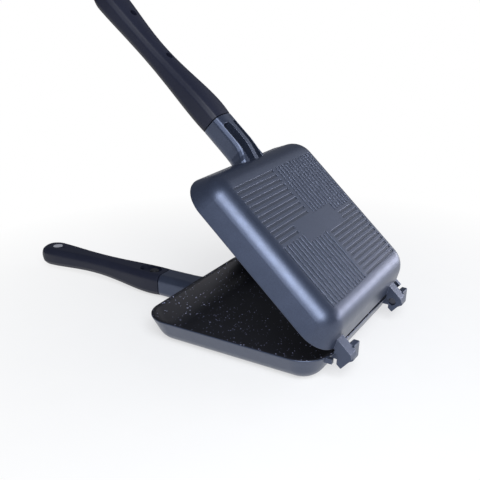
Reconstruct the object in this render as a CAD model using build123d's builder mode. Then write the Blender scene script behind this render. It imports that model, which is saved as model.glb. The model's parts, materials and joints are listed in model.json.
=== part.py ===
from build123d import *
import os
from math import radians, tan

# Stovetop sandwich toaster: two equal cast halves, hinged at one end, a handle on each.
# The lower half lies flat, its base centre is the origin and its handle runs towards -X.
# The upper half is the same half turned over about the handle's line and swung open.

# Driving dimensions of the pan, in millimetres
pan_length = 143.9
pan_width = 150.0
pan_depth = 20.6
corner_radius = 22.0
wall_draft = 27.0
edge_radius = 16.0
wall = 3.0
floor = 3.2
cavity_draft = 25.0
cavity_edge_radius = 10.0
rim_round = 0.7

# Cutters run this far past the solid that they cut
overrun = 40.0

# The hinge: its axis lies just above the rim and outside the wall
half_gap = 0.15
hinge_out = 6.5
open_angle = 42.5
outer_lug = (48.1, 56.6)
inner_lug = (39.3, 47.8)
pin_diameter = 5.8
pin_play = 0.05
pin_seat_depth = 6.5
pin_reach = 7.0
nub = (57.1, 60.1)
nub_out = 2.0
nub_root = 6.0
nub_span = (1.0, 4.6)
pin_edge = 0.5

# A lug's outline about the hinge axis: x outwards from the pan, y up. The notch under the
# axis keeps the lug's root below the rim, so the other half closes flat on it
lug_outline = (
    (-12.0, 7.3), (2.5, 7.2), (5.4, 5.4), (5.8, -5.8), (1.8, -5.9), (-2.0, -1.4),
    (-5.5, -1.3), (-6.0, 0.4), (-12.0, 0.4),
)
lug_round = 0.6

# Grooves in the flat outer face, in four fields about a bare middle
groove_width = 2.1
groove_depth = 0.55
groove_corner = 0.6
groove_centre = 0.5
field_length = 50.1
field_width = 56.3
cross_pitch = 4.2
cross_count = 12
long_pitch = 4.4
long_count = 13
groove_start = 2.4
bare_half_length = 8.0
bare_half_width = 26.7

# The handle is measured as a reach from the hinge axis towards its tip, and as a depth
# from the hinge axis towards the outer face
bracket_end = 181.8
slot_half_rib = 2.0
slot_width = 7.0
slot_round = 2.0
slot_floor = 10.5
slot_end = 175.0
joint_gap = 0.6
joint_edge = 0.3
grip_end = 319.5
grip_skin = 2.2
tip_half_width = 11.6
tip_crown = 16.6
tip_plan_radius = 11.0
tip_side_radius = 9.0
tip_inner_radius = 7.0
tip_crown_run = 15.0
tip_margin = 0.4

# Every section of the handle: the flat inner face rounds over into the sides, and a soft
# ridge lies where each side meets the crowned outer face
bevel_depth = 4.4
shoulder_drop = 5.0
ridge_drop = 1.7
ridge_inset = 2.0
ridge_round = 3.0
inner_round = 5.0

# The grip's sections: reach, half width, crown, half width of the flat inner face
grip_stations = (
    (bracket_end + joint_gap, 11.0, 19.3, 8.3),
    (215.0, 10.5, 18.4, 7.6),
    (250.0, 9.0, 15.6, 6.0),
    (285.0, 10.8, 16.2, 8.0),
    (grip_end, tip_half_width, tip_crown, 9.0),
)

# The steel tongue between casting and grip
tang_start = 160.0
tang_end = 224.0
tang_width = 15.4
tang_round = 1.0
tang_play = 0.1
tang_depths = (5.0, 7.0)
tang_bed_start = 204.0
tang_bed_offset = 8.8
tang_bed_width = 7.0
tang_screw_reach = 169.0
tang_screw_diameter = 3.0
tang_head_diameter = 5.4
tang_head_height = 1.8
tang_socket_radius = 1.4
tang_socket_depth = 1.1

# The release button, its dish and its spring
button_reach = 193.4
button_diameter = 7.4
button_play = 0.08
collar_diameter = 9.0
collar_bottom = 6.9
collar_play = 0.2
button_top = 0.3
button_edge = 0.8
post_diameter = 4.0
post_end = 12.0
dish_reach = 197.0
dish_length = 21.0
dish_width = 13.0
dish_depth = 2.6
spring_radius = 3.0
spring_wire = 0.8
spring_seat = 16.4
spring_turns = 6
spring_play = 0.1
spring_pad_margin = 1.5

# The magnet and the screws that close the grip
magnet_reach = 304.5
magnet_diameter = 9.0
magnet_depth = 3.0
magnet_recess = 0.1
magnet_edge = 0.3
dimple_reach = 297.3
dimple_diameter = 2.6
dimple_depth = 2.0
cover_screw_reaches = (243.0, 286.0)
cover_screw_diameter = 2.6
cover_screw_tip = 1.9
cover_head_diameter = 5.0
cover_head_height = 1.8
cover_head_seat = 8.0
cover_head_play = 0.2
cross_length = 3.2
cross_width = 0.8
cross_depth = 1.0
boss_diameter = 7.6
pocket_spans = ((207.0, 238.0), (248.0, 281.0))
pocket_width = 11.0
pocket_round = 2.0

# Worked out from the dimensions above
hinge_x = pan_length / 2 + hinge_out
hinge_height = pan_depth + half_gap
draft_shift = pan_depth * tan(radians(wall_draft))
wall_reach = hinge_x + pan_length / 2
bracket_start = wall_reach - 17.0

# The bracket's sections, whose crown dips and sides flare as they run into the pan's wall
bracket_stations = (
    (bracket_end, 11.0, 19.3, 8.3),
    (wall_reach + 14.0, 11.0, 19.4, 8.3),
    (wall_reach + 7.0, 11.1, 19.3, 8.4),
    (wall_reach + 2.0, 11.5, 18.6, 8.7),
    (wall_reach - 2.0, 12.7, 17.5, 9.6),
    (wall_reach - 5.0, 14.4, 16.6, 11.0),
    (bracket_start, 16.0, 14.0, 12.4),
)


def handle_plane(reach):
    """A plane across the handle: its x is the part's Y, its y is the depth outwards."""
    return Plane(origin=(hinge_x - reach, 0, hinge_height), x_dir=(0, 1, 0), z_dir=(-1, 0, 0))


def face_plane(depth):
    """A plane along the handle at a depth: its x is the reach, its z points outwards."""
    return Plane(origin=(hinge_x, 0, hinge_height - depth), x_dir=(-1, 0, 0), z_dir=(0, 0, -1))


def handle_section(reach, half_width, crown, flat_half):
    """A handle section: flat inner face, round edges, straight sides and a crowned outer face."""
    shoulder = crown - shoulder_drop
    ridge = crown - ridge_drop
    ridge_half = half_width - ridge_inset
    with BuildSketch(handle_plane(reach)) as section:
        with BuildLine():
            Polyline(
                (-ridge_half, ridge),
                (-half_width, shoulder),
                (-half_width, bevel_depth),
                (-flat_half, half_gap),
                (flat_half, half_gap),
                (half_width, bevel_depth),
                (half_width, shoulder),
                (ridge_half, ridge),
            )
            ThreePointArc((ridge_half, ridge), (0, crown), (-ridge_half, ridge))
        make_face()
        corners = section.vertices().sort_by(Axis.Y)
        fillet(corners[:4], inner_round)
        fillet(section.vertices().sort_by(Axis.Y)[-4:], ridge_round)
    return section.sketch


def slot_spots(reach):
    """The two points, one in each slot, at a reach along the handle."""
    offset = slot_half_rib + slot_width / 2
    return [(reach, -offset), (reach, offset)]


def bracket_body():
    """The cast bracket between pan and grip, with the two deep slots in its outer side."""
    slot_length = slot_end - bracket_start + overrun
    with BuildPart() as bracket:
        loft(sections=[handle_section(*station) for station in bracket_stations], ruled=True)
        with BuildSketch(face_plane(slot_floor)):
            with Locations(*slot_spots(slot_end - slot_length / 2)):
                RectangleRounded(slot_length, slot_width, slot_round)
        extrude(amount=overrun, mode=Mode.SUBTRACT)
        chamfer(bracket.faces().filter_by(Axis.X).sort_by(Axis.X)[0].edges(), joint_edge)
    return bracket.part


def lug(span, sign):
    """One hinge lug, standing out from the hinge wall between two distances along Y."""
    near, far = sorted(sign * value for value in span)
    side = Plane(origin=(hinge_x, near, hinge_height), x_dir=(1, 0, 0), z_dir=(0, 1, 0))
    with BuildPart() as piece:
        with BuildSketch(side):
            with BuildLine():
                Polyline(*lug_outline, close=True)
            make_face()
        extrude(amount=far - near)
        fillet(piece.edges().filter_by(Axis.Y).sort_by(Axis.X)[-5:], lug_round)
    return piece.part


def groove_field(across, sign_x, sign_y):
    """The grooves of one field, as (centre x, centre y, length, turn) for each groove."""
    grooves = []
    count = cross_count if across else long_count
    for index in range(count):
        if across:
            offset = groove_start + index * cross_pitch
            start = bare_half_width + groove_start if offset < bare_half_length else groove_start
            length = field_width - start
            centre = (sign_x * offset, sign_y * (start + length / 2))
        else:
            offset = groove_start + index * long_pitch
            start = bare_half_length if offset < bare_half_width else groove_start / 2
            length = field_length - start
            centre = (sign_x * (start + length / 2), sign_y * offset)
        grooves.append((centre[0] + groove_centre, centre[1], length, 90 if across else 0))
    return grooves


def cavity_body():
    """The space for the bread: drafted walls that round into a flat floor."""
    with BuildPart() as cavity:
        with BuildSketch(Plane.XY.offset(pan_depth)):
            RectangleRounded(pan_length - 2 * wall, pan_width - 2 * wall, corner_radius - wall)
        extrude(amount=-(pan_depth - floor), taper=cavity_draft)
        fillet(cavity.faces().sort_by(Axis.Z)[0].edges(), cavity_edge_radius)
        with BuildSketch(Plane.XY.offset(pan_depth)):
            RectangleRounded(
                pan_length - 2 * (wall - rim_round),
                pan_width - 2 * (wall - rim_round),
                corner_radius - wall + rim_round,
            )
        extrude(amount=-rim_round, taper=45)
    return cavity.part


def make_pan():
    """The whole casting: pan, bracket, two hinge lugs, guard nub and outer grooves."""
    bracket = bracket_body()
    lugs = [lug(outer_lug, 1), lug(inner_lug, -1)]
    cavity = cavity_body()
    rim_plane = Plane.XY.offset(pan_depth)
    with BuildPart() as pan:
        with BuildSketch():
            RectangleRounded(
                pan_length - 2 * draft_shift, pan_width - 2 * draft_shift, corner_radius - draft_shift
            )
        extrude(amount=pan_depth, taper=-wall_draft)
        fillet(pan.faces().sort_by(Axis.Z)[0].edges(), edge_radius)
        fillet(pan.faces().sort_by(Axis.Z)[-1].edges(), rim_round)
        add(bracket)
        add(lugs)
        nub_x = (pan_length + nub_out - nub_root) / 2
        with Locations((nub_x, -sum(nub) / 2, hinge_height - sum(nub_span) / 2)):
            Box(nub_out + nub_root, nub[1] - nub[0], nub_span[1] - nub_span[0])
        add(cavity, mode=Mode.SUBTRACT)
        # Whatever of the bracket and lugs stands above the rim inside the cavity is gone
        with BuildSketch(rim_plane):
            RectangleRounded(pan_length - 2 * wall, pan_width - 2 * wall, corner_radius - wall)
        extrude(amount=overrun, mode=Mode.SUBTRACT)
        # Grooves in the outer face
        with BuildSketch(Plane.XY):
            for across, sign_x, sign_y in ((True, -1, 1), (False, -1, -1), (False, 1, 1), (True, 1, -1)):
                for x, y, length, turn in groove_field(across, sign_x, sign_y):
                    with Locations((x, y)):
                        RectangleRounded(length, groove_width, groove_corner, rotation=turn)
        extrude(amount=groove_depth, mode=Mode.SUBTRACT)
        # Blind seat for the fixed pin, and the running bore of the inner lug
        outer_face = Plane(origin=(hinge_x, outer_lug[0], hinge_height), z_dir=(0, 1, 0))
        with BuildSketch(outer_face):
            Circle(pin_diameter / 2)
        extrude(amount=pin_seat_depth, mode=Mode.SUBTRACT)
        inner_face = Plane(origin=(hinge_x, -inner_lug[1], hinge_height), z_dir=(0, 1, 0))
        with BuildSketch(inner_face):
            Circle(pin_diameter / 2 + pin_play)
        extrude(amount=inner_lug[1] - inner_lug[0], mode=Mode.SUBTRACT)
        # Pocket for the tang and clearance holes for its screws
        with BuildSketch(face_plane(tang_depths[0])):
            with Locations(((tang_start + bracket_end + overrun) / 2, 0)):
                Rectangle(bracket_end + overrun - tang_start, tang_width)
        extrude(amount=tang_depths[1] - tang_depths[0], mode=Mode.SUBTRACT)
        with BuildSketch(face_plane(tang_depths[1])):
            with Locations(*slot_spots(tang_screw_reach)):
                Circle(tang_screw_diameter / 2)
        extrude(amount=slot_floor - tang_depths[1], mode=Mode.SUBTRACT)
    return pan.part


def make_tang():
    """The steel tongue, with a keyhole that opens at its free end."""
    with BuildPart() as tang:
        with BuildSketch(face_plane(tang_depths[0])):
            with Locations(((tang_start + tang_end) / 2, 0)):
                RectangleRounded(tang_end - tang_start, tang_width, tang_round)
            with Locations((button_reach, 0)):
                Circle(collar_diameter / 2 + collar_play, mode=Mode.SUBTRACT)
            with Locations(((button_reach + tang_end + overrun) / 2, 0)):
                Rectangle(
                    tang_end + overrun - button_reach,
                    button_diameter + 2 * collar_play,
                    mode=Mode.SUBTRACT,
                )
            with Locations(*slot_spots(tang_screw_reach)):
                Circle(tang_screw_diameter / 2, mode=Mode.SUBTRACT)
        extrude(amount=tang_depths[1] - tang_depths[0])
    return tang.part


def make_tang_screws():
    """Two socket screws that stand on the slot floors and thread into the tang."""
    with BuildPart() as screws:
        with BuildSketch(face_plane(tang_depths[0])):
            with Locations(*slot_spots(tang_screw_reach)):
                Circle(tang_screw_diameter / 2)
        extrude(amount=slot_floor - tang_depths[0])
        with BuildSketch(face_plane(slot_floor)):
            with Locations(*slot_spots(tang_screw_reach)):
                Circle(tang_head_diameter / 2)
        extrude(amount=tang_head_height)
        with BuildSketch(face_plane(slot_floor + tang_head_height)):
            with Locations(*slot_spots(tang_screw_reach)):
                RegularPolygon(tang_socket_radius, 6)
        extrude(amount=-tang_socket_depth, mode=Mode.SUBTRACT)
    return screws.part


def grip_loft(inset):
    """The grip's form lofted through its stations, drawn in by an inset."""
    sections = [
        handle_section(reach, half_width - inset, crown - inset, flat - inset)
        for reach, half_width, crown, flat in grip_stations
    ]
    with BuildPart() as form:
        loft(sections=sections)
    return form.part


def grip_solid():
    """The outside form of the whole grip: waisted, thicker again and rounded at the tip."""
    side_plane = Plane(
        origin=(hinge_x, overrun, hinge_height), x_dir=(-1, 0, 0), z_dir=(0, -1, 0)
    )
    start = bracket_end - overrun
    inner_line = half_gap - tip_margin
    outer_line = tip_crown + tip_margin
    with BuildPart() as grip:
        add(grip_loft(0))
        # The tip's corners are rounded in plan and in side view
        with BuildSketch(face_plane(-overrun)):
            with Locations(((start + grip_end) / 2, 0)):
                RectangleRounded(
                    grip_end - start, 2 * (tip_half_width + tip_margin), tip_plan_radius
                )
        extrude(amount=2 * overrun, mode=Mode.INTERSECT)
        with BuildSketch(side_plane) as outline:
            with BuildLine():
                Polyline(
                    (start, inner_line), (grip_end, inner_line), (grip_end, outer_line),
                    (grip_end - tip_crown_run, outer_line), (grip_end - overrun, overrun),
                    (start, overrun), close=True,
                )
            make_face()
            end_corners = outline.vertices().group_by(Axis.X)[-1]
            fillet(end_corners.sort_by(Axis.Y)[0], tip_inner_radius)
            end_corners = outline.vertices().group_by(Axis.X)[-1]
            fillet(end_corners.sort_by(Axis.Y)[-1], tip_side_radius)
        extrude(amount=2 * overrun, mode=Mode.INTERSECT)
    return grip.part


def make_grip_cover(grip):
    """The inner half of the grip, with the dish, the button's hole and the magnet's seat."""
    with BuildPart() as cover:
        with BuildSketch(face_plane(0)):
            with Locations((grip_end, 0)):
                Rectangle(2 * (grip_end - bracket_end), overrun)
        extrude(amount=bevel_depth)
        add(grip, mode=Mode.INTERSECT)
        with BuildSketch(face_plane(0)):
            with Locations((dish_reach, 0)):
                Ellipse(dish_length / 2, dish_width / 2)
        extrude(amount=dish_depth, mode=Mode.SUBTRACT)
        with BuildSketch(face_plane(0)):
            with Locations((button_reach, 0)):
                Circle(button_diameter / 2 + button_play)
        extrude(amount=overrun, mode=Mode.SUBTRACT)
        with BuildSketch(face_plane(0)):
            with Locations((magnet_reach, 0)):
                Circle(magnet_diameter / 2)
        extrude(amount=magnet_depth + half_gap, mode=Mode.SUBTRACT)
        with BuildSketch(face_plane(0)):
            with Locations((dimple_reach, 0)):
                Circle(dimple_diameter / 2)
        extrude(amount=dimple_depth, mode=Mode.SUBTRACT)
        # Pockets that keep the cover's skin even between its screw seats
        with BuildSketch(face_plane(grip_skin + half_gap)):
            for start, end in pocket_spans:
                with Locations(((start + end) / 2, 0)):
                    RectangleRounded(end - start, pocket_width, pocket_round)
        extrude(amount=overrun, mode=Mode.SUBTRACT)
        with BuildSketch(face_plane(cover_screw_tip)):
            with Locations(*[(reach, 0) for reach in cover_screw_reaches]):
                Circle(cover_screw_diameter / 2)
        extrude(amount=overrun, mode=Mode.SUBTRACT)
    return cover.part


def make_grip_shell(grip):
    """The outer half of the grip: a hollow shell with screw bosses and a bed for the tang."""
    screw_spots = [(reach, 0) for reach in cover_screw_reaches]
    grip_length = grip_end - bracket_end
    grip_middle = (bracket_end + grip_end) / 2
    hollow_start = bracket_end + 2 * grip_skin
    hollow_end = grip_end - tip_plan_radius
    with BuildPart() as hollow:
        add(grip_loft(grip_skin))
        with BuildSketch(face_plane(bevel_depth)):
            with Locations(((hollow_start + hollow_end) / 2, 0)):
                Rectangle(hollow_end - hollow_start, overrun)
        extrude(amount=overrun, mode=Mode.INTERSECT)
        # The bosses and beds stay solid
        with BuildSketch(face_plane(0)):
            with Locations(*screw_spots):
                Circle(boss_diameter / 2)
        extrude(amount=overrun, mode=Mode.SUBTRACT)
        with BuildSketch(face_plane(spring_seat)):
            with Locations((button_reach, 0)):
                Circle(spring_radius + spring_pad_margin)
        extrude(amount=overrun, mode=Mode.SUBTRACT)
        with BuildSketch(face_plane(tang_depths[1])):
            bed_middle = (tang_bed_start + tang_end) / 2
            with Locations((bed_middle, -tang_bed_offset), (bed_middle, tang_bed_offset)):
                Rectangle(tang_end - tang_bed_start, tang_bed_width)
        extrude(amount=overrun, mode=Mode.SUBTRACT)
    with BuildPart() as shell:
        with BuildSketch(face_plane(bevel_depth)):
            with Locations((grip_middle, 0)):
                Rectangle(grip_length + overrun, overrun)
        extrude(amount=overrun)
        add(grip, mode=Mode.INTERSECT)
        add(hollow.part, mode=Mode.SUBTRACT)
        # Mouth that the tang slides through
        with BuildSketch(face_plane(bevel_depth)):
            with Locations((bracket_end, 0)):
                Rectangle(6 * grip_skin, tang_width + 2 * tang_play)
        extrude(amount=tang_depths[1] - bevel_depth + tang_play, mode=Mode.SUBTRACT)
        # Counterbores from outside and the screws' clearance holes
        with BuildSketch(face_plane(cover_head_seat)):
            with Locations(*screw_spots):
                Circle(cover_head_diameter / 2 + cover_head_play)
        extrude(amount=overrun, mode=Mode.SUBTRACT)
        with BuildSketch(face_plane(0)):
            with Locations(*screw_spots):
                Circle(cover_screw_diameter / 2)
        extrude(amount=overrun, mode=Mode.SUBTRACT)
    return shell.part


def make_cover_screws():
    """Two screws, sunk in the shell's outer side, that draw the cover down."""
    spots = [(reach, 0) for reach in cover_screw_reaches]
    with BuildPart() as screws:
        with BuildSketch(face_plane(cover_screw_tip)):
            with Locations(*spots):
                Circle(cover_screw_diameter / 2)
        extrude(amount=cover_head_seat - cover_screw_tip)
        with BuildSketch(face_plane(cover_head_seat)):
            with Locations(*spots):
                Circle(cover_head_diameter / 2)
        extrude(amount=cover_head_height)
        with BuildSketch(face_plane(cover_head_seat + cover_head_height)):
            with Locations(*spots):
                Rectangle(cross_length, cross_width)
                Rectangle(cross_width, cross_length)
        extrude(amount=-cross_depth, mode=Mode.SUBTRACT)
    return screws.part


def make_release_button():
    """The button with its locking collar below the cover and the post in the spring."""
    collar = collar_diameter / 2
    stem = button_diameter / 2
    post = post_diameter / 2
    outline = [
        (0, button_top), (stem - button_edge, button_top), (stem, button_top + button_edge),
        (stem, bevel_depth),
        (collar, bevel_depth), (collar, collar_bottom), (post, collar_bottom), (post, post_end),
        (0, post_end),
    ]
    axis_plane = Plane(
        origin=(hinge_x - button_reach, 0, hinge_height), x_dir=(0, 1, 0), z_dir=(-1, 0, 0)
    )
    with BuildPart() as button:
        with BuildSketch(axis_plane):
            with BuildLine():
                Polyline(*outline, close=True)
            make_face()
        revolve(axis=Axis(axis_plane.origin, (0, 0, 1)))
    return button.part


def make_button_spring():
    """The coil spring between the button's collar and the pad in the shell."""
    room = spring_seat - collar_bottom
    rise = room - spring_wire - 2 * spring_play
    foot = hinge_height - spring_seat + spring_wire / 2 + spring_play
    start = Plane(origin=(hinge_x - button_reach, 0, foot), z_dir=(0, 0, 1))
    with BuildPart() as spring:
        with BuildLine(start) as coil:
            Helix(pitch=rise / spring_turns, height=rise, radius=spring_radius)
        with BuildSketch(Plane(origin=coil.line @ 0, z_dir=coil.line % 0)):
            Circle(spring_wire / 2)
        sweep(is_frenet=True)
    return spring.part


def make_magnet():
    """The bright disc let into the cover near the tip."""
    with BuildPart() as magnet:
        with BuildSketch(face_plane(half_gap + magnet_recess)):
            with Locations((magnet_reach, 0)):
                Circle(magnet_diameter / 2)
        extrude(amount=magnet_depth - magnet_recess)
        chamfer(magnet.faces().sort_by(Axis.Z)[-1].edges(), magnet_edge)
    return magnet.part


def make_pin():
    """A hinge pin: pressed into an outer lug and reaching into the inner lug's bore."""
    length = pin_seat_depth + outer_lug[0] - inner_lug[1] + pin_reach
    end = outer_lug[0] + pin_seat_depth
    across = Plane(origin=(hinge_x, end, hinge_height), z_dir=(0, -1, 0))
    with BuildPart() as pin:
        with BuildSketch(across):
            Circle(pin_diameter / 2)
        extrude(amount=length)
        chamfer(pin.faces().sort_by(Axis.Y)[0].edges(), pin_edge)
    return pin.part


def open_half(shape):
    """The same piece in the upper half: turned over, then swung about the hinge."""
    hinge_line = Axis((hinge_x, 0, hinge_height), (0, 1, 0))
    handle_line = Axis((hinge_x, 0, hinge_height), (1, 0, 0))
    return shape.rotate(handle_line, 180).rotate(hinge_line, open_angle)


def write(shape, name):
    """Label a finished piece and write it to its own file."""
    with BuildPart() as piece:
        add(shape)
    piece.part.label = name
    export_step(piece.part, f"parts/{name}.step")


os.makedirs("parts", exist_ok=True)
grip = grip_solid()
pieces = {
    "pan": make_pan(),
    "tang": make_tang(),
    "tang_screws": make_tang_screws(),
    "grip_shell": make_grip_shell(grip),
    "grip_cover": make_grip_cover(grip),
    "cover_screws": make_cover_screws(),
    "release_button": make_release_button(),
    "button_spring": make_button_spring(),
    "magnet": make_magnet(),
}
for name, shape in pieces.items():
    write(shape, f"lower_{name}")
    write(open_half(shape), f"upper_{name}")
write(make_pin(), "far_hinge_pin")
write(open_half(make_pin()), "near_hinge_pin")
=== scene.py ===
# %% [markdown]
# # A stovetop sandwich toaster
# Two cast pan halves are hinged at one end, and each carries a slotted bracket and a waisted
# grip. The measured CAD model is loaded first. It fixes every size, so the work here is
# about surfaces: what each one is made of, and how light falls on it.

# %% Load the measured model
import bmesh
import bpy
import json
from math import pi, radians, sqrt
from mathutils import Matrix, Vector


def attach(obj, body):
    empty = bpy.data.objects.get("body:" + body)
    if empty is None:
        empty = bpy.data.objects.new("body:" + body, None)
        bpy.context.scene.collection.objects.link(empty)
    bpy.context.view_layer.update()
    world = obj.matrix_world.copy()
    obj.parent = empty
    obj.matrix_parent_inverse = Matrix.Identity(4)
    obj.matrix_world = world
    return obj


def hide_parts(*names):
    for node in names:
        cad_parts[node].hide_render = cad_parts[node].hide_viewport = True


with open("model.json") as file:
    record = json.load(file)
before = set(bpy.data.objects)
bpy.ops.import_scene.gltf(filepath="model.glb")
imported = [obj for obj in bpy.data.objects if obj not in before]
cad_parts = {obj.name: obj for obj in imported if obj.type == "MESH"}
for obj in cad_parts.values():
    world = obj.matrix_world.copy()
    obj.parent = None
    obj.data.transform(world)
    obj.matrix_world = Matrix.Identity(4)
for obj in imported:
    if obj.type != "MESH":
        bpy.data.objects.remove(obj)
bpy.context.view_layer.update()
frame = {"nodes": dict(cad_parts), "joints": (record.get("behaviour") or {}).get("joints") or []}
nodes = frame["nodes"]
scene = bpy.context.scene

# %% [markdown]
# Both halves are the same casting. The upper one is the lower one turned over about the
# handle's line and swung open about the hinge, so one matrix carries anything that is drawn
# for the lower half to its place in the upper half. The hinge comes from the record's joint.

# %% The way from the lower half to the upper half
lid = next(joint for joint in frame["joints"] if joint["name"] == "lid_hinge")
hinge = Vector(lid["pos_m"])
open_angle = -radians(lid["range_deg"][0])
to_hinge = Matrix.Translation(hinge)
swing_open = Matrix.Rotation(open_angle, 4, "Y")
turn_over = Matrix.Rotation(pi, 4, "X")
lower_to_upper = to_hinge @ swing_open @ turn_over @ to_hinge.inverted()
print("hinge in mm", [round(1000 * v, 2) for v in hinge])
print("open by", round(-lid["range_deg"][0], 1), "degrees")

# %% [markdown]
# The camera stands where the photograph was taken from. Its place, turn and lens were
# worked out from the outline of the object, and the sensor is the default 36 mm.

# %% Camera
camera = bpy.data.objects.new("camera", bpy.data.cameras.new("camera"))
scene.collection.objects.link(camera)
camera.location = (0.22776, -0.42597, 0.24910)
camera.rotation_euler = (radians(69.484), radians(0.411), radians(31.083))
camera.data.sensor_width = 36
camera.data.lens = 52.41
scene.camera = camera
print("camera is", round((camera.location - hinge).length, 3), "m from the hinge")

# %% [markdown]
# Satin metal shows its lamps as soft bands, so each band in the photograph asks for one
# lamp. A square softbox high on the camera's right draws the long bright band along the
# near rounding. A large weak one behind lies in the mirror direction of the raised face,
# and a low one beyond the hinge lifts the hinge wall and the lugs.

# %% Lamps
def softbox(name, spot, aim, size, power, tint):
    """A rectangular area lamp at a spot, turned to face an aim point."""
    lamp = bpy.data.lights.new(name, "AREA")
    lamp.shape = "RECTANGLE"
    lamp.size, lamp.size_y = size
    lamp.energy = power
    lamp.color = tint
    holder = bpy.data.objects.new(name, lamp)
    holder.location = spot
    holder.rotation_euler = (Vector(aim) - Vector(spot)).to_track_quat("-Z", "Y").to_euler()
    scene.collection.objects.link(holder)
    print(name, power, "W over", round(size[0] * size[1], 2), "square metres")

middle = (0.0, 0.0, 0.08)
cool = (0.93, 0.96, 1.0)
lavender = (0.93, 0.92, 1.0)
softbox("key_softbox", (0.48, -0.60, 0.65), middle, (0.54, 0.54), 10.5, cool)
softbox("hinge_softbox", (0.66, 0.80, 0.14), middle, (0.9, 0.24), 5.0, lavender)
softbox("rear_softbox", (0.42, 0.95, 0.60), middle, (0.8, 0.8), 1.3, cool)

# %% [markdown]
# The world and every finish below are trees of shader nodes. Written out in full, one sum
# takes three or four lines, so a few helpers do the typing. The first one fills a socket,
# the second adds a node with its inputs given by name, and the third does a sum.

# %% Helpers for shader nodes
def plug(tree, value, socket):
    """Fill a socket with a fixed value, or link another node's result to it."""
    if isinstance(value, bpy.types.NodeSocket):
        tree.links.new(value, socket)
    else:
        socket.default_value = value

def add_node(tree, kind, **settings):
    """A node of a kind, with its settings and its inputs filled in by name."""
    node = tree.nodes.new("ShaderNode" + kind)
    for key, value in settings.items():
        if hasattr(node, key):
            setattr(node, key, value)
        else:
            plug(tree, value, node.inputs[key.replace("_", " ")])
    return node

def maths(tree, operation, *values):
    """The result of one sum with numbers."""
    node = add_node(tree, "Math", operation=operation)
    for value, socket in zip(values, node.inputs):
        plug(tree, value, socket)
    return node.outputs[0]

def two_shaders(tree, share, first, second):
    """A share of the way from the first shader to the second."""
    node = add_node(tree, "MixShader")
    for value, socket in zip((share, first.outputs[0], second.outputs[0]), node.inputs):
        plug(tree, value, socket)
    return node.outputs[0]

# %% [markdown]
# The world is a weak grey fill. Rays straight from the camera, and those that pass through
# glass, see plain white instead, as in a studio with a white backdrop. That white is kept
# off the object's diffuse light, so the dark finishes stay dark.

# %% World
world = bpy.data.worlds.new("studio")
scene.world = world
world.use_nodes = True
sky = world.node_tree
sky.nodes.clear()
rays = add_node(sky, "LightPath")
seen = maths(sky, "MAXIMUM", rays.outputs["Is Camera Ray"], rays.outputs["Is Transmission Ray"])
fill = add_node(sky, "Background", Color=(0.80, 0.85, 1.0, 1), Strength=0.20)
backdrop = add_node(sky, "Background", Color=(1, 1, 1, 1), Strength=1.0)
studio_light = two_shaders(sky, seen, fill, backdrop)
plug(sky, studio_light, add_node(sky, "OutputWorld").inputs["Surface"])
scene.view_settings.view_transform = "Standard"
print("world nodes", len(sky.nodes))

# %% [markdown]
# The floor is a large round sheet. It lies a fifth of a millimetre below the object, so
# that two faces never share one place.

# %% Floor
floor_radius = 1.6
below_object = 0.0002
floor_mesh = bpy.data.meshes.new("floor")
sheet = bmesh.new()
bmesh.ops.create_circle(sheet, cap_ends=True, segments=96, radius=floor_radius)
sheet.to_mesh(floor_mesh)
sheet.free()
floor = bpy.data.objects.new("floor", floor_mesh)
floor.location.z = -below_object
scene.collection.objects.link(floor)
print("floor radius", floor_radius, "m")

# %% [markdown]
# The sheet is pale paper. Near the object it takes the shadow, and with distance it runs
# out into the white of the backdrop, so that no horizon shows: the share of plain white
# grows with the distance from the object, for rays from the camera and for reflections
# only. Three more helpers are needed: sums with vectors, a change of range, and an empty
# material to start from.

# %% Helpers for a finish
def vectors(tree, operation, *values):
    """The result of one sum with vectors, which is a number for a length or dot product."""
    node = add_node(tree, "VectorMath", operation=operation)
    for value, socket in zip(values, node.inputs):
        plug(tree, value, socket)
    return node.outputs["Value" if operation in ("LENGTH", "DOT_PRODUCT") else "Vector"]

def ranged(tree, value, low_high, to_low_high):
    """A value carried from one range to another, and held at its ends."""
    low, high = low_high
    to_low, to_high = to_low_high
    node = add_node(
        tree, "MapRange", Value=value, From_Min=low, From_Max=high, To_Min=to_low, To_Max=to_high
    )
    return node.outputs[0]

def new_finish(name):
    """An empty material: its node tree, its Principled shader and itself."""
    material = bpy.data.materials.new(name)
    material.use_nodes = True
    tree = material.node_tree
    return tree, tree.nodes["Principled BSDF"], material

# %% Floor paper
paper_tones = (0.955, 0.975)
fade_distances, fade_shares = (0.10, 0.36), (0.60, 1.0)
tree, shader, floor_paper = new_finish("floor_paper")
shader.inputs["Roughness"].default_value = 0.85
place = add_node(tree, "NewGeometry").outputs["Position"]
grain = add_node(tree, "TexNoise", Vector=place, Scale=40.0, Detail=3.0).outputs[0]
plug(tree, ranged(tree, grain, (0.3, 0.7), paper_tones), shader.inputs["Base Color"])
rays = add_node(tree, "LightPath")
seen = maths(tree, "MAXIMUM", rays.outputs["Is Camera Ray"], rays.outputs["Is Glossy Ray"])
far = ranged(tree, vectors(tree, "LENGTH", place), fade_distances, fade_shares)
glow = add_node(tree, "Emission", Color=(1, 1, 1, 1), Strength=1.0)
paper = two_shaders(tree, maths(tree, "MULTIPLY", seen, far), shader, glow)
plug(tree, paper, tree.nodes["Material Output"].inputs["Surface"])
floor_mesh.materials.append(floor_paper)
print("paper nodes", len(tree.nodes))

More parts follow.
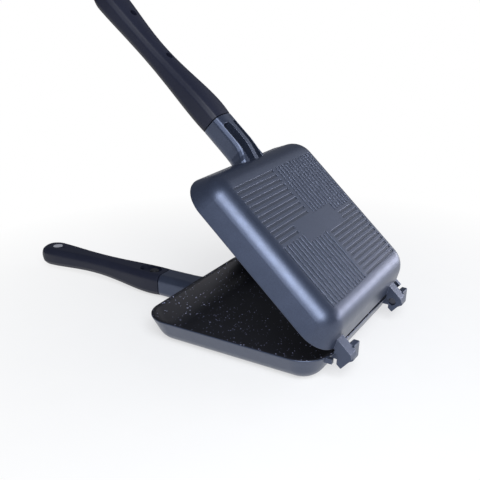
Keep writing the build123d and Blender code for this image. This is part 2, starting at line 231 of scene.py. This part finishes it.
# %% [markdown]
# The casting has two coats, a satin graphite-blue one outside and a near-black one inside,
# and they meet at the rim. The casting is one mesh, so the coat is chosen by position. A
# point belongs to the inside when it lies above a surface halfway through the metal. That
# surface depends only on the distance in from the rim's outline, a rectangle with round
# corners, and three straight slopes are near enough: the wall, its rounding and the floor.
# Each slope is given by its steepness, a height, and how far in it has that height.
#
# A material that is placed by position is tied to the object's own axes. The upper half is
# turned over, so its points are first carried back to where they lie in the lower half.

# %% Sizes of the casting that the coats follow
half_length, half_width, corner_radius = 0.07195, 0.075, 0.022
rim_height = hinge.z - 0.00015
halfway_slopes = (
    (1.7, rim_height - 0.0002, 0.0008),
    (0.7, 0.0052, 0.010),
    (0.0, 0.0017, 0.0),
)
print("rim at", round(1000 * rim_height, 2), "mm, slopes", len(halfway_slopes))

# %% Finding a point of the casting
def lower_place(tree, turned_back):
    """The point being coloured, as it lies in the lower half."""
    place = add_node(tree, "TexCoord").outputs["Object"]
    if turned_back:
        for about, angle in (("Y_AXIS", -open_angle), ("X_AXIS", pi)):
            turn = add_node(
                tree, "VectorRotate", rotation_type=about, Vector=place, Center=hinge, Angle=angle
            )
            place = turn.outputs[0]
    return place

def outline_distance(tree, place):
    """How far out from the rectangle through the centres of the rim's round corners."""
    centres = (half_length - corner_radius, half_width - corner_radius, 1.0)
    past = vectors(tree, "SUBTRACT", vectors(tree, "ABSOLUTE", place), centres)
    outside = vectors(tree, "LENGTH", vectors(tree, "MAXIMUM", past, (0, 0, 0)))
    sides = add_node(tree, "SeparateXYZ", Vector=past)
    nearest = maths(tree, "MAXIMUM", sides.outputs[0], sides.outputs[1])
    return maths(tree, "ADD", outside, maths(tree, "MINIMUM", nearest, 0.0))

def inside_share(tree, height, distance):
    """1 inside the pan and 0 outside; a point on the rim's outline is a radius out."""
    halfway = None
    for slope, known_height, known_in in halfway_slopes:
        level = known_height + slope * (known_in - corner_radius)
        line = maths(tree, "MULTIPLY_ADD", distance, slope, level)
        halfway = line if halfway is None else maths(tree, "MAXIMUM", halfway, line)
    return maths(tree, "GREATER_THAN", height, halfway)

# %% [markdown]
# Metallic paint is metal flake under a thin clear film. Slow clouding and a fine random
# flake keep its colour from being flat. The grooves are painted darker and duller, as a
# painted shade for the shade that falls in them. The flat face lies at height zero, so a point
# a little higher and well in from the rim is down in a groove. Edges are painted brighter,
# partly as wear and partly as a painted highlight. The Bevel node finds them, because its
# rounded normal leaves the true one only beside an edge.

# %% Helpers for blends
def blended(tree, kind, share, first, second):
    """A share of the way from the first to the second; kind is RGBA or FLOAT."""
    node = add_node(tree, "Mix", data_type=kind)
    for value, socket in ((share, "Factor"), (first, "A"), (second, "B")):
        plug(tree, value, node.inputs[socket])
    return node.outputs["Result"]

def scaled(tree, vector, share):
    """A colour or vector made larger or smaller."""
    node = add_node(tree, "VectorMath", operation="SCALE", Scale=share)
    plug(tree, vector, node.inputs[0])
    return node.outputs["Vector"]

# %% The outside coat's colour
coat_blues = ((0.046, 0.060, 0.100, 1), (0.060, 0.075, 0.122, 1))
flake_lightness = (0.86, 1.16)
# Painted shade: the grooves are coloured darker for the shade that falls in them.
painted_groove_shade = (0.034, 0.044, 0.074, 1)
groove_start, groove_bottom, face_border = (0.0002, 0.0004), 0.0009, 0.0175
# Edges are coloured lighter, partly as wear and partly as a painted highlight.
wear_and_highlight_blue = (0.20, 0.22, 0.29, 1)
bent_normals, wear_and_highlight_shares = (0.97, 0.80), (0.0, 0.75)

def groove_shade_share(tree, height, distance):
    """1 down in the grooves of the flat face, where shade is painted, and 0 elsewhere."""
    sunk = ranged(tree, height, groove_start, (0.0, 1.0))
    shallow = maths(tree, "LESS_THAN", height, groove_bottom)
    on_face = maths(tree, "LESS_THAN", distance, corner_radius - face_border)
    return maths(tree, "MULTIPLY", maths(tree, "MULTIPLY", sunk, shallow), on_face)

def outside_color(tree, place, cloud, groove, rounded):
    """Graphite blue, clouded and flaked; painted shade in the grooves, edges lighter for wear and a
    painted highlight.
    """
    blue = blended(tree, "RGBA", cloud, *coat_blues)
    flake = add_node(tree, "TexVoronoi", Vector=place, Scale=2600.0).outputs["Color"]
    flaked = scaled(tree, blue, ranged(tree, flake, (0.0, 1.0), flake_lightness))
    # Painted shade: the grooves take the darker colour.
    groove_shaded = blended(tree, "RGBA", groove, flaked, painted_groove_shade)
    true_normal = add_node(tree, "NewGeometry").outputs["Normal"]
    agree = vectors(tree, "DOT_PRODUCT", rounded, true_normal)
    # Lighter edges: wear and a painted highlight.
    return blended(tree, "RGBA", ranged(tree, agree, bent_normals, wear_and_highlight_shares), groove_shaded, wear_and_highlight_blue)

# %% [markdown]
# The inside has a near-black non-stick coat with pale flecks. A fleck is the middle of a
# Voronoi cell. One random value per cell decides whether it has a fleck and how large, and
# another how pale it is.

# %% The inside coat's colour
fleck_tint = (0.78, 0.82, 1.25)
fleck_chances, fleck_sizes, fleck_tones = (0.42, 1.0), (0.0, 0.26), (0.15, 0.80)
dark_tones = (0.006, 0.010)

def inside_color(tree, place, cloud):
    """Near black with pale flecks of random size and brightness."""
    cells = add_node(tree, "TexVoronoi", Vector=place, Scale=620.0)
    chance = add_node(tree, "SeparateColor", Color=cells.outputs["Color"])
    size = ranged(tree, chance.outputs[0], fleck_chances, fleck_sizes)
    fleck = maths(tree, "LESS_THAN", cells.outputs["Distance"], size)
    pale = ranged(tree, chance.outputs[1], (0.0, 1.0), fleck_tones)
    dark = ranged(tree, cloud, (0.3, 0.7), dark_tones)
    return scaled(tree, fleck_tint, blended(tree, "FLOAT", fleck, dark, pale))

# %% [markdown]
# The two coats come together in one shader. The inside mask chooses between them for the
# colour, the metal and the roughness, and only the outside has the clear film. The metallic
# value gives the dark-to-bright roll of the light, and the film the paler shine at a
# glancing angle. A fine noise moves the roughness, and a finer one dimples the surface as
# sprayed paint does.

# %% Coats of the casting
edge_round_radius = 0.0004
outside_metallic, film_weight = 0.75, 0.45
satin_roughness, inside_roughness = (0.38, 0.44), 0.58

def coated(name, turned_back):
    """The casting's material; turned_back brings a point of the upper half to the lower."""
    tree, shader, material = new_finish(name)
    place = lower_place(tree, turned_back)
    height = add_node(tree, "SeparateXYZ", Vector=place).outputs[2]
    distance = outline_distance(tree, place)
    inside = inside_share(tree, height, distance)
    cloud = add_node(tree, "TexNoise", Vector=place, Scale=28.0, Detail=4.0, Roughness=0.6).outputs[0]
    fine = add_node(tree, "TexNoise", Vector=place, Scale=160.0, Detail=3.0).outputs[0]
    peel = add_node(tree, "TexNoise", Vector=place, Scale=900.0, Detail=2.0).outputs[0]
    rounded = add_node(tree, "Bevel", samples=6, Radius=edge_round_radius).outputs[0]
    groove = groove_shade_share(tree, height, distance)
    outer = outside_color(tree, place, cloud, groove, rounded)
    inner = inside_color(tree, place, cloud)
    satin = ranged(tree, fine, (0.3, 0.7), satin_roughness)
    dimples = add_node(tree, "Bump", Strength=0.10, Distance=0.0002, Height=peel, Normal=rounded)
    plug(tree, blended(tree, "RGBA", inside, outer, inner), shader.inputs["Base Color"])
    plug(tree, ranged(tree, inside, (0.0, 1.0), (outside_metallic, 0.0)), shader.inputs["Metallic"])
    plug(tree, ranged(tree, inside, (0.0, 1.0), (film_weight, 0.0)), shader.inputs["Coat Weight"])
    plug(tree, blended(tree, "FLOAT", inside, satin, inside_roughness), shader.inputs["Roughness"])
    plug(tree, dimples.outputs[0], shader.inputs["Normal"])
    shader.inputs["Coat Roughness"].default_value = 0.34
    shader.inputs["Specular IOR Level"].default_value = 0.3
    print(name, "nodes", len(tree.nodes))
    return material

lower_coat = coated("lower_coat", False)
upper_coat = coated("upper_coat", True)

# %% [markdown]
# The grips are a dark navy, matt moulded plastic. Its skin has a fine eroded grain, which
# is a bump at a fraction of a millimetre, and handling polishes it unevenly.

# %% Plastic finishes
def moulded(name, color, roughness, grain_scale, grain_depth):
    """A moulded plastic with an eroded grain and uneven polish."""
    tree, shader, material = new_finish(name)
    shader.inputs["Specular IOR Level"].default_value = 0.35
    place = add_node(tree, "TexCoord").outputs["Object"]
    wear = add_node(tree, "TexNoise", Vector=place, Scale=35.0, Detail=4.0).outputs[0]
    darker = (*[0.85 * c for c in color], 1)
    lighter = (*[1.15 * c for c in color], 1)
    plug(tree, blended(tree, "RGBA", wear, darker, lighter), shader.inputs["Base Color"])
    polish = ranged(tree, wear, (0.3, 0.7), (roughness - 0.05, roughness + 0.05))
    plug(tree, polish, shader.inputs["Roughness"])
    skin = add_node(tree, "TexNoise", Vector=place, Scale=grain_scale, Detail=3.0).outputs[0]
    dents = add_node(tree, "Bump", Strength=0.25, Distance=grain_depth, Height=skin)
    plug(tree, dents.outputs[0], shader.inputs["Normal"])
    print(name, "roughness", roughness)
    return material

grip_plastic = moulded("grip_plastic", (0.0085, 0.0105, 0.024), 0.50, 2200.0, 0.0001)
button_plastic = moulded("button_plastic", (0.010, 0.010, 0.013), 0.35, 3000.0, 0.00005)

# %% [markdown]
# Screws, pins, springs and the tang are plain steel, and fine marks make their shine
# uneven. The magnet is nickel plated. It is paler and milkier, so it is less than fully
# metallic.

# %% Metal finishes
def plain_metal(name, color, roughness, mark_scale, metallic=1.0):
    """A bare or plated metal whose roughness varies with fine marks."""
    tree, shader, material = new_finish(name)
    shader.inputs["Metallic"].default_value = metallic
    place = add_node(tree, "TexCoord").outputs["Object"]
    marks = add_node(tree, "TexNoise", Vector=place, Scale=mark_scale, Detail=5.0, Roughness=0.7)
    marks = marks.outputs[0]
    darker = (*[0.9 * c for c in color], 1)
    plug(tree, blended(tree, "RGBA", marks, darker, (*color, 1)), shader.inputs["Base Color"])
    polish = ranged(tree, marks, (0.3, 0.7), (0.7 * roughness, 1.3 * roughness))
    plug(tree, polish, shader.inputs["Roughness"])
    print(name, "roughness", roughness)
    return material

steel = plain_metal("steel", (0.56, 0.56, 0.58), 0.32, 900.0)
nickel = plain_metal("nickel", (0.80, 0.80, 0.83), 0.22, 600.0, metallic=0.6)
dark_steel = plain_metal("dark_steel", (0.10, 0.105, 0.13), 0.40, 900.0)

# %% [markdown]
# Each CAD node keeps its shape and takes a finish. Apart from the pans, both halves hold
# the same pieces, so a node goes by its name without the half.

# %% Finishes on the CAD nodes
finishes = {
    "lower_pan": lower_coat, "upper_pan": upper_coat,
    "grip_shell": grip_plastic, "grip_cover": grip_plastic,
    "release_button": button_plastic, "magnet": nickel,
    "tang": steel, "tang_screws": dark_steel, "cover_screws": dark_steel,
    "button_spring": steel, "far_hinge_pin": dark_steel, "near_hinge_pin": dark_steel,
}
for name, node in nodes.items():
    key = name if name in finishes else name.split("_", 1)[1]
    node.data.materials.clear()
    node.data.materials.append(finishes[key])
print("finished nodes", len(nodes))

# %% [markdown]
# A grip ends in a soft nose, like the end of a bar of soap. The CAD model rounds it once in
# plan and once in side view, and those two roundings meet in sharp mitres. A bevel can't
# soften them, because a mitre fades out along its length. So each grip piece is copied,
# the copy's end is sliced into small faces, and every slice across the nose, a rectangle,
# is squeezed towards an ellipse, more and more as the tip comes nearer. Shell and cover
# follow the same rule, so the seam between them stays shut.

# %% The nose's own size at a reach from the hinge, in millimetres
nose_start, nose_end, nose_middle = 306.0, 319.5, 7.5
plan_centre, plan_radius = 1.0, 11.0
inner_centre, inner_radius, flat_inner_face = 6.75, 7.0, 0.15
outer_centre, outer_radius = 8.0, 9.0

def arc(reach, radius):
    """How far a rounding that ends at the tip stands out from its centre."""
    past = max(0.0, min(radius, reach - (nose_end - radius)))
    return sqrt(radius ** 2 - past ** 2)

def nose(reach):
    """Half width, inner depth and outer depth of the CAD model's nose."""
    half_width = plan_centre + arc(reach, plan_radius)
    inner = max(flat_inner_face, inner_centre - arc(reach, inner_radius))
    outer = outer_centre + arc(reach, outer_radius)
    return half_width, inner, outer

print("nose at 300, 315 and 319 mm", [[round(v, 1) for v in nose(r)] for r in (300, 315, 319)])

# %% Squeezing a slice towards an ellipse
least_room = 0.1

def squeezed(point):
    """Where a point of the lower half's nose goes: a square slice becomes a round one."""
    reach, depth = 1000 * (hinge.x - point.x), 1000 * (hinge.z - point.z)
    if reach <= nose_start:
        return point
    way = min(1.0, (reach - nose_start) / (nose_end - nose_start))
    share = way * way * (3 - 2 * way)
    half_width, inner, outer = nose(reach)
    room = outer - nose_middle if depth > nose_middle else nose_middle - inner
    across = min(1.0, abs(1000 * point.y) / half_width)
    down = min(1.0, abs(depth - nose_middle) / max(room, least_room))
    width_scale = sqrt(1 - share * down * down / 2)
    depth_scale = sqrt(1 - share * across * across / 2)
    new_depth = nose_middle + (depth - nose_middle) * depth_scale
    return Vector((point.x, point.y * width_scale, hinge.z - new_depth / 1000))

# %% [markdown]
# The slices lie closer together towards the tip, where the form turns fastest, and
# lengthwise cuts give each slice enough points to look round. Those stop where the nose
# starts, so that the rest of the grip keeps its large faces. The squeezed piece needs fresh
# shading: edges sharper than 35 degrees stay crisp, and weighted normals keep the large
# faces even beside their roundings.

# %% Planes that slice the nose, as a point and a direction
gap_step, gap_growth, slice_count = 0.4, 0.12, 14
gaps = [gap_step * k * (1 + gap_growth * k) for k in range(1, slice_count + 1)]
slice_depths = (1.5, 3, 6, 7.5, 9, 10.5, 12, 13.5, 15)
cuts = [((hinge.x - (nose_end - gap) / 1000, 0, 0), (1, 0, 0)) for gap in gaps]
cuts += [((0, y / 1000, 0), (0, 1, 0)) for y in range(-10, 11, 2)]
cuts += [((0, 0, hinge.z - depth / 1000), (0, 0, 1)) for depth in slice_depths]
print("slicing planes", len(cuts))

# %% The grips with soft noses
def slice_nose(work):
    """Cut the nose of a mesh that lies in the lower half by all the planes."""
    border = hinge.x - nose_start / 1000 + 0.0001
    for spot, normal in cuts:
        faces = [f for f in work.faces if max(v.co.x for v in f.verts) < border or normal[0]]
        edges = {e for f in faces for e in f.edges}
        verts = {v for f in faces for v in f.verts}
        parts = [*verts, *edges, *faces]
        bmesh.ops.bisect_plane(work, geom=parts, dist=1e-7, plane_co=spot, plane_no=normal)

def soft_nosed(name, body, to_half):
    """A copy of a grip piece with its nose rounded, standing for the CAD node."""
    mesh = nodes[name].data.copy()
    work = bmesh.new()
    work.from_mesh(mesh)
    bmesh.ops.remove_doubles(work, verts=work.verts, dist=1e-6)
    work.transform(to_half.inverted())
    slice_nose(work)
    for vert in work.verts:
        vert.co = squeezed(vert.co)
    work.transform(to_half)
    work.to_mesh(mesh)
    work.free()
    if "custom_normal" in mesh.attributes:
        mesh.attributes.remove(mesh.attributes["custom_normal"])
    mesh.shade_smooth()
    mesh.set_sharp_from_angle(angle=radians(35))
    piece = bpy.data.objects.new("soft_" + name, mesh)
    scene.collection.objects.link(piece)
    weigh = piece.modifiers.new("even shading", "WEIGHTED_NORMAL")
    weigh.keep_sharp = True
    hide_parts(name)
    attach(piece, body)
    print(piece.name, len(mesh.vertices), "points")

for part in ("grip_shell", "grip_cover"):
    soft_nosed("lower_" + part, "lower", Matrix.Identity(4))
    soft_nosed("upper_" + part, "upper", lower_to_upper)
